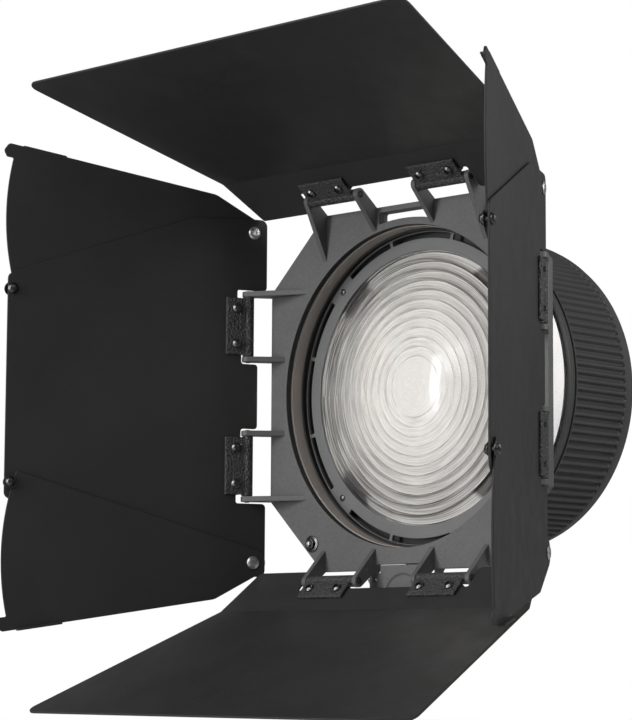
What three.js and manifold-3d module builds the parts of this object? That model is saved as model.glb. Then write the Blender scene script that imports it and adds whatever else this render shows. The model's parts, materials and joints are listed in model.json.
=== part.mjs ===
// Fresnel lens attachment for a studio light, with a focus ring and four barn doors.
// Millimetres. +Z is up, the lens axis is Y and the light leaves towards -Y. The origin is the centre of the
// rear bayonet's seat face. A "depth" is measured back from a plane 3 mm behind the door frame's front face.
import * as THREE from "three";
import { mergeVertices } from "three/addons/utils/BufferGeometryUtils.js";
import Module from "manifold-3d";

const wasm = await Module();
wasm.setup();

// ---- Driving dimensions ----
const SEAT_DEPTH = 165; // depth of the bayonet's seat face, where y is 0
const GAP = 0.3; // between pieces that touch

const FRAME_FACE = -3; // depth of the frame's front face
const FRAME_HALF = 132; // half of the frame's width and height
const FRAME_CORNER = 53.5; // cut off each corner of the square
const FRAME_FRONT = 5.5; // thickness of the front layer
const FRAME_THICK = 9.5; // thickness with the back layer
const OPENING_R = 116;

const LENS_R = 104;
const LENS_CENTRE_R = 21.8; // radius of the lens's middle zone
const LENS_ZONE = 6.97; // width of every other zone
const LENS_ZONES = 11;
const LENS_CURVE = 107; // radius of the spherical face that the zones are cut from
const LENS_PEAK = 14.8; // depth of the outermost zone's crest
const LENS_DOME = 5; // how much further forward the crests stand in the middle
const LENS_RIM = 19.6; // depth of the flat rim that the retaining ring clamps
const LENS_BACK = 24;

const BARREL_R = 109; // outside of the sliding tube
const SLEEVE_R = 113.2; // the wider part of the tube, in front of the focus ring
const FLANGE_R = 122.5; // the barrel's front flange, which carries the door frame
const RING_INNER_R = 109.8;
const RING_FRONT = 41;
const RING_BACK = 113.2;
const GRIP_FRONT = 48.8;
const GRIP_BACK = 109.2;
const GRIP_R = 116.4;
const GUIDE_DEPTH = 92; // where the guide pins stand at rest
const FOCUS_PITCH = 40 / THREE.MathUtils.degToRad(120); // barrel travel per radian of ring

const HINGE_R = 139.8; // from the lens axis to each hinge axis
const HINGE_DEPTH = -20; // the hinge axes stand 17 mm in front of the frame
const HINGE_OFFSET = 52.4; // from the middle of a door to the middle of each hinge
const HINGE_LENGTH = 42.8;
const ARM_THICK = 4;
const ARM_INNER = 25.8; // nearer face of the inner arm from the door's middle
const ARM_OUTER = 75;
const PIN_R = 2;
const PIN_BORE_R = 2.3;
const KNUCKLE_R = 4.3;

const SHEET = 1.6; // thickness of the door and leaf sheets
const SIDE_LENGTH = 187.3; // side door, from its hinge axis to its outer edge
const RIVET = new THREE.Vector2(-4.15, 124.1); // leaf pivot on a side door, along and across it
const LEAF_R = 193.2; // arc edge of a leaf about its rivet
const STOP_R = 195.4; // stop stud from the rivet
const STOP_ANGLE = -16; // stop stud's direction from the rivet, in degrees

const DOORS = [
  { name: "top", turn: -90, angle: 50.5, ends: ["left", "right"], tips: { outer: 96.5, inner: 114.5 } },
  { name: "bottom", turn: 90, angle: 44, ends: ["right", "left"], tips: { outer: 115.8, inner: 115.8 } },
  { name: "left", turn: 180, angle: 66.5, ends: ["lower", "upper"], tips: { outer: 94.5, inner: 117 } },
  { name: "right", turn: 0, angle: 61.5, ends: ["upper", "lower"], tips: { outer: 94.5, inner: 117 } },
];

const LOOKS = {
  sheet: { color: 0x2c2c2e, roughness: 0.62, metalness: 0.1 },
  casting: { color: 0x58595c, roughness: 0.55, metalness: 0.2 },
  crinkle: { color: 0x2a2a2b, roughness: 0.8, metalness: 0.1 },
  ring: { color: 0x3b3b3c, roughness: 0.5, metalness: 0 },
  rubber: { color: 0x3f3f40, roughness: 0.75, metalness: 0 },
  barrel: { color: 0xf1ede8, roughness: 0.4, metalness: 0 },
  glass: { color: 0xe6e4de, roughness: 0.08, metalness: 0 },
  trim: { color: 0x6a6b70, roughness: 0.5, metalness: 0.2 },
  silicone: { color: 0xd8d4cc, roughness: 0.7, metalness: 0 },
  steel: { color: 0xb9bbbd, roughness: 0.35, metalness: 0.9 },
  blackSteel: { color: 0x1d1d1e, roughness: 0.4, metalness: 0.6 },
  alloy: { color: 0xa9abad, roughness: 0.4, metalness: 0.9 },
};

const radians = THREE.MathUtils.degToRad;
const yAt = (depth) => depth - SEAT_DEPTH;

// ---- Geometry helpers ----
// A closed geometry as a manifold-3d solid with its faces pointing out.
function solidOf(geometry) {
  const bare = geometry.index ? geometry.toNonIndexed() : geometry.clone();
  bare.deleteAttribute("normal");
  bare.deleteAttribute("uv");
  const merged = mergeVertices(bare, 1e-4);
  const triangles = [];
  for (let i = 0; i < merged.index.count; i += 3) {
    const [a, b, c] = [merged.index.getX(i), merged.index.getX(i + 1), merged.index.getX(i + 2)];
    if (a !== b && b !== c && c !== a) triangles.push([a, b, c]);
  }
  const build = (faces) =>
    new wasm.Manifold(
      new wasm.Mesh({
        numProp: 3,
        vertProperties: merged.attributes.position.array,
        triVerts: new Uint32Array(faces.flat()),
      }),
    );
  const made = build(triangles);
  return made.volume() > 0 ? made : build(triangles.map(([a, b, c]) => [a, c, b]));
}

// Joins the pieces, cuts the tools away, and gives one geometry back.
function combine(pieces, tools = []) {
  let body = pieces.map(solidOf).reduce((whole, piece) => whole.add(piece));
  for (const tool of tools) body = body.subtract(solidOf(tool));
  const mesh = body.getMesh();
  const geometry = new THREE.BufferGeometry();
  geometry.setAttribute("position", new THREE.BufferAttribute(new Float32Array(mesh.vertProperties), 3));
  geometry.setIndex(new THREE.BufferAttribute(new Uint32Array(mesh.triVerts), 1));
  geometry.computeVertexNormals();
  return geometry;
}

// A body of revolution about the lens axis from [radius, depth] pairs. Rings close on themselves.
function turned(pairs, segments = 48) {
  const profile = pairs.map(([radius, depth]) => new THREE.Vector2(radius, yAt(depth)));
  if (pairs[0][0] > 0) profile.push(profile[0].clone());
  return new THREE.LatheGeometry(profile, segments);
}

// A small body of revolution about a Y line through (s, t). Its [radius, n] pairs start and end on the line.
function stud(pairs, s, t, segments) {
  const profile = pairs.map(([radius, n]) => new THREE.Vector2(radius, n));
  return new THREE.LatheGeometry(profile, segments).translate(s, 0, t);
}

// A flat outline in x and z, made solid between two y values.
function sheet(shape, yLow, yHigh, curveSegments = 12) {
  const options = { depth: yHigh - yLow, bevelEnabled: false, curveSegments };
  return new THREE.ExtrudeGeometry(shape, options).rotateX(Math.PI / 2).translate(0, yHigh, 0);
}

// A flat outline in x and y, made solid between two z values.
function bar(shape, zLow, zHigh, curveSegments = 6) {
  const options = { depth: zHigh - zLow, bevelEnabled: false, curveSegments };
  return new THREE.ExtrudeGeometry(shape, options).translate(0, 0, zLow);
}

function block([x0, x1], [y0, y1], [z0, z1]) {
  const box = new THREE.BoxGeometry(x1 - x0, y1 - y0, z1 - z0);
  return box.translate((x0 + x1) / 2, (y0 + y1) / 2, (z0 + z1) / 2);
}

// Rods along X, Y or Z between two ends.
const rod = (radius, low, high, sides) => new THREE.CylinderGeometry(radius, radius, high - low, sides);
const rodX = (radius, low, high, y, z, sides = 12) =>
  rod(radius, low, high, sides).rotateZ(Math.PI / 2).translate((low + high) / 2, y, z);
const rodY = (radius, low, high, x, z, sides = 12) =>
  rod(radius, low, high, sides).translate(x, (low + high) / 2, z);
const rodZ = (radius, low, high, x, y, sides = 12) =>
  rod(radius, low, high, sides).rotateX(Math.PI / 2).translate(x, y, (low + high) / 2);

const polygon = (points) => new THREE.Shape(points.map(([x, y]) => new THREE.Vector2(x, y)));
const polar = (centre, radius, degrees) => [
  centre.x + radius * Math.cos(radians(degrees)),
  centre.y + radius * Math.sin(radians(degrees)),
];

// A sector of a flat ring about the lens axis, between two angles measured from +X towards +Z.
function sector(inner, outer, fromDegrees, toDegrees, depthLow, depthHigh) {
  const shape = new THREE.Shape();
  shape.absarc(0, 0, outer, radians(fromDegrees), radians(toDegrees), false);
  shape.absarc(0, 0, inner, radians(toDegrees), radians(fromDegrees), true);
  return sheet(shape, yAt(depthLow), yAt(depthHigh), 6);
}

// Turns a geometry about the lens axis, from +X towards +Z.
const around = (geometry, degrees) => geometry.rotateY(-radians(degrees));

function mesh(name, geometry, look) {
  const made = new THREE.Mesh(geometry, new THREE.MeshStandardMaterial(look));
  made.name = name;
  return made;
}

// ---- Rear housing and bayonet ----
function rearHousing() {
  const shell = turned([
    [105.2, 62], [105.2, 113.6], [113.8, 113.6], [113.8, 120], [64, 156], [62, 161.7], [41.5, 161.7],
    [41.5, 158.7], [60.2, 158.7], [60.2, 154.5], [102.5, 123.9], [102.5, 62],
  ]);
  const slotLength = [yAt(60), yAt(GUIDE_DEPTH + 13)];
  const slots = [90, 210, 330].map((angle) => around(block([100, 107], slotLength, [-2.4, 2.4]), angle));
  return combine([shell], slots);
}

function bayonetRing() {
  const seat = turned([[41.5, 162], [60, 162], [60, 165], [44.8, 165], [44.8, 174], [41.5, 174]], 36);
  const lugs = [30, 150, 270].map((angle) => sector(44, 49.2, angle - 14, angle + 14, 171, 173.8));
  const holes = [90, 210, 330].map((angle) => around(rodY(1.7, yAt(161), yAt(166), 53, 0, 10), angle));
  return combine([seat, ...lugs], holes);
}

// ---- Focus ring ----
class GuideGroove extends THREE.Curve {
  constructor(startDegrees) {
    super();
    this.start = startDegrees;
  }
  getPoint(t) {
    const turn = radians(-24 + 112 * t); // a little past both ends of the ring's travel
    const angle = radians(this.start) + turn;
    const radius = 108.8;
    return new THREE.Vector3(
      radius * Math.cos(angle),
      yAt(GUIDE_DEPTH) - FOCUS_PITCH * turn,
      radius * Math.sin(angle),
    );
  }
}

function focusRing() {
  const core = turned([
    [RING_INNER_R, 46.3], [113.6, 46.3], [113.6, RING_FRONT], [114.6, RING_FRONT], [115.8, 42.4], [115.8, 45],
    [114.6, 45.6], [114.6, 48.5], [112.8, 48.5], [112.8, 109.5], [115.8, 109.5], [115.8, RING_BACK],
    [RING_INNER_R, RING_BACK],
  ]);
  const section = new THREE.Shape().absarc(0, 0, 3.2, 0, 2 * Math.PI);
  const grooves = [90, 210, 330].map((angle) => {
    const path = { steps: 24, curveSegments: 6, extrudePath: new GuideGroove(angle) };
    return new THREE.ExtrudeGeometry(section, path);
  });
  return combine([core], grooves);
}

function focusGrip() {
  return turned([[113.1, GRIP_FRONT], [GRIP_R, GRIP_FRONT], [GRIP_R, GRIP_BACK], [113.1, GRIP_BACK]]);
}

// ---- Lens barrel and what it holds ----
function lensBarrel() {
  const tube = turned([
    [115.5, FRAME_FACE + 5.8], [FLANGE_R, FRAME_FACE + 5.8], [FLANGE_R, FRAME_FACE + 8.8],
    [118.2, FRAME_FACE + 8.8], [118.2, 24], [SLEEVE_R, 26.5], [SLEEVE_R, 39.2], [BARREL_R, 39.2],
    [BARREL_R, 100], [106, 100], [106, 37], [110.2, 34], [110.2, 29.5], [101.5, 28.5], [101.5, 25.6],
    [115.5, 25.6],
  ]);
  const posts = [45, 135, 225, 315].map((angle) => sector(104.8, 116.5, angle - 4, angle + 4, 19.6, 26));
  const holes = [90, 210, 330].map((angle) => {
    const hole = new THREE.CylinderGeometry(2.2, 2.2, 12, 12).rotateZ(Math.PI / 2);
    return around(hole.translate(107.5, yAt(GUIDE_DEPTH), 0), angle);
  });
  return combine([tube, ...posts], holes);
}

function guidePin(angle) {
  const pin = new THREE.CylinderGeometry(1.9, 1.9, 7.4, 12).rotateZ(Math.PI / 2);
  return around(pin.translate(107.1, yAt(GUIDE_DEPTH), 0), angle);
}

function fresnelLens() {
  const sag = (radius) => LENS_CURVE - Math.sqrt(LENS_CURVE ** 2 - radius ** 2);
  const crest = (radius) => LENS_PEAK - LENS_DOME * (1 - (radius / 98.5) ** 2);
  const front = [[0, crest(0) - sag(LENS_CENTRE_R) + 0.6]];
  front.push([LENS_CENTRE_R / 2, front[0][1] + sag(LENS_CENTRE_R / 2)]);
  front.push([LENS_CENTRE_R, front[0][1] + sag(LENS_CENTRE_R)]);
  for (let zone = 0; zone < LENS_ZONES; zone++) {
    const inner = LENS_CENTRE_R + zone * LENS_ZONE;
    const outer = inner + LENS_ZONE;
    const drop = sag(Math.min(outer, 95)) - sag(Math.min(inner, 95 - LENS_ZONE));
    front.push([inner + 0.4, crest(inner)]);
    front.push([outer, Math.min(crest(inner) + drop, LENS_BACK - 3.4)]);
  }
  return combine([turned([...front, [99, LENS_RIM], [LENS_R, LENS_RIM], [LENS_R, LENS_BACK], [0, LENS_BACK]])]);
}

function retainingRing() {
  const ring = turned([
    [100, 17.8], [101, 17], [113.9, 17], [113.9, 12.6], [115.2, 12.6], [115.2, 19.3], [100, 19.3],
  ]);
  const slots = [];
  for (const side of [0, 90, 180, 270])
    for (const [from, to] of [[-38.5, -15.8], [-14.4, 14.4], [15.8, 38.5]])
      slots.push(sector(109, 113.4, side + from, side + to, 16, 20));
  const holes = [45, 135, 225, 315].map((angle) => around(rodY(1.6, yAt(16), yAt(20), 108.6, 0, 10), angle));
  return combine([ring], [...slots, ...holes]);
}

const lensGasket = () => turned([[101.8, 24.3], [LENS_R, 24.3], [LENS_R, 25.3], [101.8, 25.3]]);

// ---- Door frame ----
function octagon(inset) {
  const half = FRAME_HALF - inset;
  const flat = FRAME_HALF - FRAME_CORNER - inset * Math.tan(Math.PI / 8);
  return polygon([
    [half, -flat], [half, flat], [flat, half], [-flat, half], [-half, flat], [-half, -flat], [-flat, -half],
    [flat, -half],
  ]);
}

// One layer of the frame, between two distances behind its front face.
function frameLayer(inset, holeRadius, low, high) {
  const shape = octagon(inset);
  shape.holes.push(new THREE.Path().absarc(0, 0, holeRadius, 0, 2 * Math.PI, true));
  return sheet(shape, yAt(FRAME_FACE + low), yAt(FRAME_FACE + high), 32);
}

// The point where a line from outside a circle touches it; side picks one of the two.
function tangent(centre, radius, from, side) {
  const out = new THREE.Vector2(...from).sub(centre);
  const angle = out.angle() + side * Math.acos(radius / out.length());
  return THREE.MathUtils.radToDeg(angle);
}

// One hinge arm in the right-hand door's plane: a gusset from the frame's face out to a round eye.
function hingeArm(tip, low) {
  const eye = new THREE.Vector2(HINGE_R, yAt(HINGE_DEPTH));
  const eyeR = 4.6;
  const onFace = [tip, yAt(FRAME_FACE + 0.4)];
  const onEdge = [FRAME_HALF - 0.3, yAt(FRAME_FACE + 1.5)];
  const from = tangent(eye, eyeR, onFace, 1);
  const to = tangent(eye, eyeR, onEdge, -1) + 360;
  const points = [onFace];
  for (let step = 0; step <= 6; step++) points.push(polar(eye, eyeR, from + ((to - from) * step) / 6));
  points.push(onEdge);
  return bar(polygon(points), low, low + ARM_THICK);
}

const LATCH_PIVOT = { depth: FRAME_FACE + 3.4, z: -138.4 };
const EAR_INNER = 29.5; // from the latch's middle to each ear
const EAR_THICK = 2.2;

// One of the two ears below the frame that carry the latch pin.
function latchEar(side) {
  const profile = polygon([
    [0, -127], [0, -146], [7, -146], [8, -143], [8, -134], [FRAME_THICK, -132], [FRAME_THICK, -127],
  ].map(([behind, z]) => [yAt(FRAME_FACE + behind), z]));
  const ear = new THREE.ExtrudeGeometry(profile, { depth: EAR_THICK, bevelEnabled: false });
  // the outline's x and y become y and z, and its thickness runs along x
  const upright = new THREE.Matrix4().set(0, 0, 1, 0, 1, 0, 0, 0, 0, 1, 0, 0, 0, 0, 0, 1);
  return ear.applyMatrix4(upright).translate(side > 0 ? EAR_INNER : -EAR_INNER - EAR_THICK, 0, 0);
}

const BOLT = { x: 88.5, z: -111.1 };

function doorFrame() {
  const front = frameLayer(0, OPENING_R, 0, FRAME_FRONT);
  const back = frameLayer(3, FLANGE_R + 1.5, FRAME_FRONT - 0.2, FRAME_THICK);
  const arms = DOORS.flatMap(({ turn, tips }) =>
    [ARM_INNER, -ARM_INNER - ARM_THICK, ARM_OUTER, -ARM_OUTER - ARM_THICK].map((low) =>
      hingeArm(Math.abs(low) > HINGE_OFFSET ? tips.outer : tips.inner, low).rotateY(radians(turn)),
    ),
  );
  const lips = [65, 115].map((angle) =>
    sector(119.2, 129, angle - 8, angle + 8, FRAME_FACE + FRAME_THICK - 0.3, FRAME_FACE + 11.5),
  );
  const ears = [-1, 1].map(latchEar);
  const bores = DOORS.map(({ turn }) =>
    rodZ(PIN_BORE_R, -85, 85, HINGE_R, yAt(HINGE_DEPTH)).rotateY(radians(turn)),
  );
  const through = [yAt(FRAME_FACE - 0.2), yAt(FRAME_FACE + 11)];
  const cableSlot = combine(
    [block([-23.5, 23.5], through, [115, 127.8])],
    [rodY(121.6, yAt(FRAME_FACE - 1), yAt(FRAME_FACE + 12), 0, 0, 48)],
  );
  const notch = block([-EAR_INNER - 0.1, EAR_INNER + 0.1], through, [-136, -127.6]);
  const pivotBore = rodX(1.4, -34, 34, yAt(LATCH_PIVOT.depth), LATCH_PIVOT.z, 10);
  const boltHoles = [-1, 1].map((side) => rodY(2.4, ...through, side * BOLT.x, BOLT.z));
  const solids = [front, back, ...arms, ...lips, ...ears];
  return combine(solids, [...bores, cableSlot, notch, pivotBore, ...boltHoles]);
}

// A flat clip behind the frame that keeps the barrel's flange in its recess.
function retainingClip(side) {
  const boltR = Math.hypot(BOLT.x, BOLT.z);
  const angle = THREE.MathUtils.radToDeg(Math.atan2(BOLT.z, side * BOLT.x));
  const front = FRAME_FACE + FRAME_THICK + GAP;
  const plate = block([119.4, boltR + 7], [yAt(front), yAt(front + 2.4)], [-9, 9]);
  const hole = rodY(2.4, yAt(front - 1), yAt(front + 3), boltR, 0);
  return around(combine([plate], [hole]), angle);
}

function clipBolt(side) {
  const profile = [
    [0, -5], [2.1, -5], [2.1, -3.6], [4.4, -3.6], [4.4, -1.1], [6.2, -1.1], [6.2, -GAP], [2, -GAP], [2, 12.5],
    [4, 12.5], [4, 15], [0, 15],
  ].map(([radius, behind]) => [radius, yAt(FRAME_FACE + behind)]);
  return combine([stud(profile, side * BOLT.x, BOLT.z, 12)]);
}

// ---- Latch ----
function latchLever() {
  const { depth, z } = LATCH_PIVOT;
  const behind = (distance) => yAt(FRAME_FACE + distance);
  const tab = block([-21.5, 21.5], [behind(0), behind(3.2)], [-148.5, -128.8]);
  const bosses = [-1, 1].map((side) => rodX(2.7, side * 12.6 - 4.6, side * 12.6 + 4.6, yAt(depth), z, 16));
  const arm = block([-6, 6], [behind(2.5), behind(12)], [-131.6, -128.8]);
  const hook = block([-6, 6], [behind(9.9), behind(12)], [-131.6, -120.6]);
  const scoop = rodY(13.4, behind(-1), behind(1.3), 0, -149, 32);
  const pocket = block([-7.8, 7.8], [behind(0.9), behind(7)], [-141.2, -135.6]);
  const bore = rodX(1.4, -23, 23, yAt(depth), z, 10);
  return combine([tab, ...bosses, arm, hook], [scoop, pocket, bore]);
}

function latchPin() {
  const end = EAR_INNER + EAR_THICK + GAP;
  const profile = [
    [0, -end - 2.5], [2.4, -end - 2], [3.3, -end], [1.1, -end], [1.1, end], [2.2, end], [2.2, end + 0.8],
    [0, end + 0.8],
  ].map(([radius, x]) => new THREE.Vector2(radius, x));
  const pin = new THREE.LatheGeometry(profile, 12);
  return combine([pin.rotateZ(-Math.PI / 2).translate(0, yAt(LATCH_PIVOT.depth), LATCH_PIVOT.z)]);
}

class SpringCoil extends THREE.Curve {
  getPoint(t) {
    const angle = t * 5 * 2 * Math.PI;
    const { depth, z } = LATCH_PIVOT;
    return new THREE.Vector3(-6.4 + 12.8 * t, yAt(depth) + 1.85 * Math.cos(angle), z + 1.85 * Math.sin(angle));
  }
}

function latchSpring() {
  const wire = new THREE.Shape().absarc(0, 0, 0.35, 0, 2 * Math.PI);
  const path = { steps: 40, curveSegments: 2, extrudePath: new SpringCoil() };
  return combine([new THREE.ExtrudeGeometry(wire, path)]);
}

// ---- Doors ----
// A door's own x runs along the sheet from the hinge axis, y points out of the beam and z runs along the hinge.
const mirrored = (geometry) => geometry.clone().rotateX(Math.PI);

// Cut-outs in a sheet's rear edge for the hinge arms and knuckles, and one more given by the door. Each is
// [how far along the sheet, from, to], where from and to are across it.
function hingeCutouts(extra) {
  const cuts = [[9, ARM_OUTER - 1.4, ARM_OUTER + 5.2], [5.6, ARM_INNER + 4.9, ARM_OUTER - 1], extra];
  return cuts.flatMap(([along, from, to]) =>
    [block([-40, along], [-2, 2], [from, to]), block([-40, along], [-2, 2], [-to, -from])],
  );
}

function sideDoor() {
  const [out, half, corner] = [SIDE_LENGTH, 81.2, 5];
  const outline = new THREE.Shape();
  outline.moveTo(out, half - corner);
  outline.quadraticCurveTo(out, half, out - corner, half + 1.8);
  outline.lineTo(44, 132.6);
  outline.lineTo(RIVET.x, RIVET.y + 10.5);
  outline.absarc(RIVET.x, RIVET.y, 10.5, Math.PI / 2, Math.PI, false);
  outline.absarc(RIVET.x, -RIVET.y, 10.5, Math.PI, 1.5 * Math.PI, false);
  outline.lineTo(44, -132.6);
  outline.lineTo(out - corner, -half - 1.8);
  outline.quadraticCurveTo(out, -half, out, -half + corner);
  const blank = sheet(outline, -SHEET / 2, SHEET / 2, 6);
  const middle = block([-40, -7.5], [-2, 2], [-26, 26]);
  const [stopX, stopZ] = polar(RIVET, STOP_R, STOP_ANGLE);
  const holes = [-1, 1].flatMap((side) => [
    rodY(2.6, -2, 2, RIVET.x, side * RIVET.y),
    rodY(1.9, -2, 2, stopX, side * stopZ, 10),
  ]);
  return combine([blank], [...hingeCutouts([5.6, ARM_INNER - 1.4, ARM_INNER + 5.2]), middle, ...holes]);
}

const BEND_AT = 30.2;
const BEND = 21.5;

// Top or bottom door: a short rear strip, then a long panel bent in towards the beam.
function foldedDoor() {
  const [rear, rearHalf, bendHalf, front, frontHalf] = [-10, 131, 144.7, 203.4, 180];
  const turn = -radians(BEND);
  const along = new THREE.Vector2(Math.cos(turn), Math.sin(turn));
  const end = new THREE.Vector2(BEND_AT, 0).addScaledVector(along, front - BEND_AT);
  const mitre = (SHEET / 2) * Math.tan(radians(BEND) / 2);
  const normal = new THREE.Vector2(-along.y, along.x).multiplyScalar(SHEET / 2);
  const section = polygon([
    [rear, -SHEET / 2], [BEND_AT - mitre, -SHEET / 2], [end.x - normal.x, end.y - normal.y],
    [end.x + normal.x, end.y + normal.y], [BEND_AT + mitre, SHEET / 2], [rear, SHEET / 2],
  ]);
  const outline = new THREE.Shape();
  const round = 7;
  outline.moveTo(end.x, frontHalf - round - 2);
  outline.quadraticCurveTo(end.x, frontHalf, end.x - round, frontHalf - 1.5);
  outline.lineTo(BEND_AT, bendHalf);
  outline.lineTo(rear, rearHalf);
  outline.lineTo(rear, -rearHalf);
  outline.lineTo(BEND_AT, -bendHalf);
  outline.lineTo(end.x - round, -frontHalf + 1.5);
  outline.quadraticCurveTo(end.x, -frontHalf, end.x, -frontHalf + round + 2);
  const strip = solidOf(bar(section, -frontHalf - 5, frontHalf + 5));
  const plan = solidOf(sheet(outline, -90, 20, 6));
  const blank = strip.intersect(plan).getMesh();
  const geometry = new THREE.BufferGeometry();
  geometry.setAttribute("position", new THREE.BufferAttribute(new Float32Array(blank.vertProperties), 3));
  geometry.setIndex(new THREE.BufferAttribute(new Uint32Array(blank.triVerts), 1));
  return combine([geometry], [...hingeCutouts([8, 0, ARM_INNER + 5.2])]);
}

// Leaf on the beam side of a side door, at its +z end. Its arc edge is centred on the rivet.
function leaf() {
  const innerEdge = -15.8; // direction of the edge nearer the door's middle, in degrees
  const outerEdge = 8.8;
  const kink = [25.9, 151.75];
  const innerCorner = innerEdge - THREE.MathUtils.radToDeg(Math.asin(10 / LEAF_R));
  const hookAngle = 12.7;
  const outline = new THREE.Shape();
  outline.moveTo(...polar(RIVET, 10, innerEdge - 90));
  outline.lineTo(...polar(RIVET, LEAF_R, innerCorner));
  outline.absarc(RIVET.x, RIVET.y, LEAF_R, radians(innerCorner), radians(hookAngle), false);
  outline.lineTo(...polar(RIVET, LEAF_R + 3.6, hookAngle));
  const bulge = polar(RIVET, LEAF_R + 8, hookAngle + 0.6);
  outline.quadraticCurveTo(...bulge, ...polar(RIVET, LEAF_R + 7.4, hookAngle + 2));
  const tip = polar(RIVET, LEAF_R + 6, hookAngle + 2.8);
  outline.lineTo(...tip);
  outline.lineTo(...kink);
  outline.lineTo(...polar(RIVET, 10, 118.4));
  outline.absarc(RIVET.x, RIVET.y, 10, radians(118.4), radians(innerEdge + 270), false);
  const near = SHEET / 2 + GAP;
  const flat = sheet(outline, -near - SHEET, -near, 10);
  const lip = new THREE.BoxGeometry(33, 6.4, 1.8).rotateY(-radians(outerEdge));
  const middle = new THREE.Vector2(...kink).lerp(new THREE.Vector2(...tip), 0.83);
  const raised = lip.translate(middle.x, -near - 3.2, middle.y + 0.5);
  return combine([flat, raised], [rodY(2.7, -9, 0, RIVET.x, RIVET.y)]);
}

// Rivet through door and leaf, with a low dome on each side.
function leafRivet() {
  const profile = [
    [0, -4.5], [2.6, -4.2], [4.2, -3.6], [4.8, -3], [2.3, -3], [2.3, 1.1], [4.8, 1.1], [4.2, 1.7], [2.6, 2.3],
    [0, 2.6],
  ];
  return combine([stud(profile, RIVET.x, RIVET.y, 14)]);
}

// Stud whose wide head keeps the leaf's arc edge against the door, and which stops the leaf's hook.
function stopStud() {
  const profile = [
    [0, -7], [2, -6.6], [3.4, -5.2], [3.6, -4], [5.2, -4], [5.2, -3], [1.6, -3], [1.6, 1.1], [4, 1.1], [4, 1.8],
    [3.3, 2.6], [2, 3.6], [0, 3.9],
  ];
  return combine([stud(profile, ...polar(RIVET, STOP_R, STOP_ANGLE), 12)]);
}

// Hinge half on the door's beam side: a knuckle on the pin, and a flange against the sheet.
function hingeKnuckle(side) {
  const [low, high] = [side * HINGE_OFFSET - HINGE_LENGTH / 2, side * HINGE_OFFSET + HINGE_LENGTH / 2];
  const near = -SHEET / 2 - GAP;
  const flange = bar(polygon([[0, near], [18.5, near], [18.5, -2.5], [17.8, -3.2], [0, -3.2]]), low, high);
  const knuckle = rodZ(KNUCKLE_R, low - 0.8, high + 0.8, 0, 0, 16);
  return combine([flange, knuckle], [rodZ(PIN_BORE_R, low - 5, high + 5, 0, 0)]);
}

// Clamping plate on the door's outer side, behind each hinge flange.
function hingeBacking(side) {
  const [low, high] = [side * HINGE_OFFSET - HINGE_LENGTH / 2, side * HINGE_OFFSET + HINGE_LENGTH / 2];
  const near = SHEET / 2 + GAP;
  const section = polygon([[5.8, near], [18.5, near], [18.5, 2.4], [17.4, 3.4], [6.8, 3.4], [5.8, 2.4]]);
  return combine([bar(section, low, high)]);
}

function hingePin(side) {
  const [near, far] = [ARM_INNER - 0.6, ARM_OUTER + ARM_THICK + 0.6];
  const [low, high] = side > 0 ? [near, far] : [-far, -near];
  return combine([rodZ(PIN_R, low, high, HINGE_R, yAt(HINGE_DEPTH))]);
}

function doorAssembly({ name, turn, angle, ends }) {
  const anchor = new THREE.Group();
  anchor.rotation.y = radians(turn);
  const swing = new THREE.Group();
  swing.position.set(HINGE_R, yAt(HINGE_DEPTH), 0);
  swing.rotation.z = -radians(angle);
  anchor.add(swing);
  const isSide = name === "left" || name === "right";
  swing.add(mesh(`door_${name}`, isSide ? sideDoor() : foldedDoor(), LOOKS.sheet));
  [1, -1].forEach((side, i) => {
    const place = `${name}_${ends[i]}`;
    anchor.add(mesh(`hinge_pin_${place}`, hingePin(side), LOOKS.blackSteel));
    swing.add(mesh(`hinge_knuckle_${place}`, hingeKnuckle(side), LOOKS.crinkle));
    swing.add(mesh(`hinge_backing_${place}`, hingeBacking(side), LOOKS.crinkle));
    if (!isSide) return;
    const facing = side > 0 ? (geometry) => geometry : mirrored;
    swing.add(mesh(`leaf_${place}`, facing(leaf()), LOOKS.sheet));
    swing.add(mesh(`leaf_rivet_${place}`, facing(leafRivet()), LOOKS.steel));
    swing.add(mesh(`leaf_stop_${place}`, facing(stopStud()), LOOKS.blackSteel));
  });
  return anchor;
}

// ---- The assembly ----
const lensAttachment = new THREE.Group();
lensAttachment.add(
  mesh("rear_housing", rearHousing(), LOOKS.ring),
  mesh("bayonet_ring", bayonetRing(), LOOKS.alloy),
  mesh("focus_ring", focusRing(), LOOKS.ring),
  mesh("focus_grip", focusGrip(), LOOKS.rubber),
  mesh("lens_barrel", lensBarrel(), LOOKS.barrel),
  mesh("fresnel_lens", fresnelLens(), LOOKS.glass),
  mesh("lens_retaining_ring", retainingRing(), LOOKS.trim),
  mesh("lens_gasket", lensGasket(), LOOKS.silicone),
  mesh("door_frame", doorFrame(), LOOKS.casting),
  mesh("retaining_clip_left", retainingClip(-1), LOOKS.blackSteel),
  mesh("retaining_clip_right", retainingClip(1), LOOKS.blackSteel),
  mesh("clip_bolt_left", clipBolt(-1), LOOKS.steel),
  mesh("clip_bolt_right", clipBolt(1), LOOKS.steel),
  mesh("latch_lever", latchLever(), LOOKS.casting),
  mesh("latch_pin", latchPin(), LOOKS.steel),
  mesh("latch_spring", latchSpring(), LOOKS.steel),
);
[90, 210, 330].forEach((angle, i) => {
  lensAttachment.add(mesh(`guide_pin_${i + 1}`, guidePin(angle), LOOKS.steel));
});
for (const door of DOORS) lensAttachment.add(doorAssembly(door));

export default lensAttachment;
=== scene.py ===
import json
import math

import bmesh
import bpy
from mathutils import Matrix, Vector


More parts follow.
